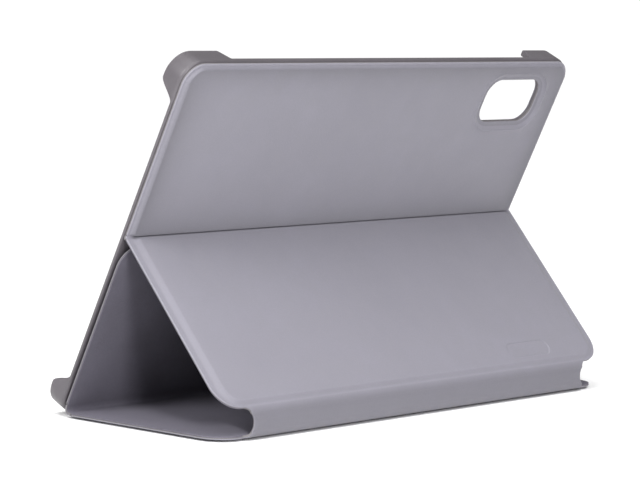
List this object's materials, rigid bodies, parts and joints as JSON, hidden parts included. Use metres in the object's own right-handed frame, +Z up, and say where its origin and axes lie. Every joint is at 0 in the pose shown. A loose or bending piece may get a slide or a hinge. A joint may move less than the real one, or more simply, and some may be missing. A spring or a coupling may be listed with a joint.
{
  "type": "tablet case",
  "caption": "Folding tablet case: a hard tray with corner grips leans on a creased leather leg and base, its cover folded in half behind it as a stand.",
  "frame": {"origin": "centre of the base panel's underside, on the table", "axes": "+X along the long edge, +Y the way the screen side faces, +Z up"},
  "size_m": [0.258, 0.1092, 0.1592],
  "materials": {
    "leather_skin": "matte polyurethane leather with a very fine grain, mauve grey",
    "tray_plastic": "moulded polycarbonate with a fine satin texture, mauve grey",
    "lining": "short-pile microfibre, dark grey",
    "board": "pressed fibre board, uncoated",
    "magnet": "nickel-plated magnet"
  },
  "bodies": {
    "base": {"base_skin": "leather_skin", "base_board": "board", "base_lining": "lining", "lower_spine_crease": "leather_skin", "front_crease": "leather_skin"},
    "flap": {"flap_skin": "leather_skin", "flap_board": "board", "flap_lining": "lining", "flap_magnet_left": "magnet", "flap_magnet_right": "magnet", "wake_magnet": "magnet"},
    "spine": {"spine_skin": "leather_skin", "spine_board": "board", "spine_lining": "lining", "upper_spine_crease": "leather_skin"},
    "leg": {"leg_skin": "leather_skin", "leg_board": "board", "leg_lining": "lining", "leg_magnet_left": "magnet", "leg_magnet_right": "magnet", "mid_crease": "leather_skin"},
    "shell": {"back_shell": "tray_plastic", "tray_lining": "lining", "rear_skin": "leather_skin", "rear_board": "board", "shell_magnet_left": "magnet", "shell_magnet_right": "magnet"}
  },
  "joints": [
    {"name": "lower_spine_fold", "type": "hinge", "parent": "base", "child": "spine", "pos_m": [0, -0.047, 0.0024], "axis": [1, 0, 0], "range_deg": [0, 90], "deforming": ["lower_spine_crease"]},
    {"name": "upper_spine_fold", "type": "hinge", "parent": "spine", "child": "leg", "pos_m": [0, -0.047, 0.0126], "axis": [1, 0, 0], "range_deg": [0, 41.28], "deforming": ["upper_spine_crease"]},
    {"name": "mid_fold", "type": "hinge", "parent": "leg", "child": "shell", "pos_m": [0, 0.0124, 0.08026], "axis": [1, 0, 0], "range_deg": [-67.28, 0], "deforming": ["mid_crease"]},
    {"name": "front_fold", "type": "hinge", "parent": "base", "child": "flap", "pos_m": [0, 0.047, 0.0027], "axis": [1, 0, 0], "range_deg": [0, 64], "deforming": ["front_crease"]}
  ],
  "couplings": [
    {"joint": "upper_spine_fold", "follows": "lower_spine_fold", "ratio": 0.45865},
    {"joint": "mid_fold", "follows": "lower_spine_fold", "ratio": -0.74754},
    {"joint": "front_fold", "follows": "lower_spine_fold", "ratio": 0.71111}
  ]
}
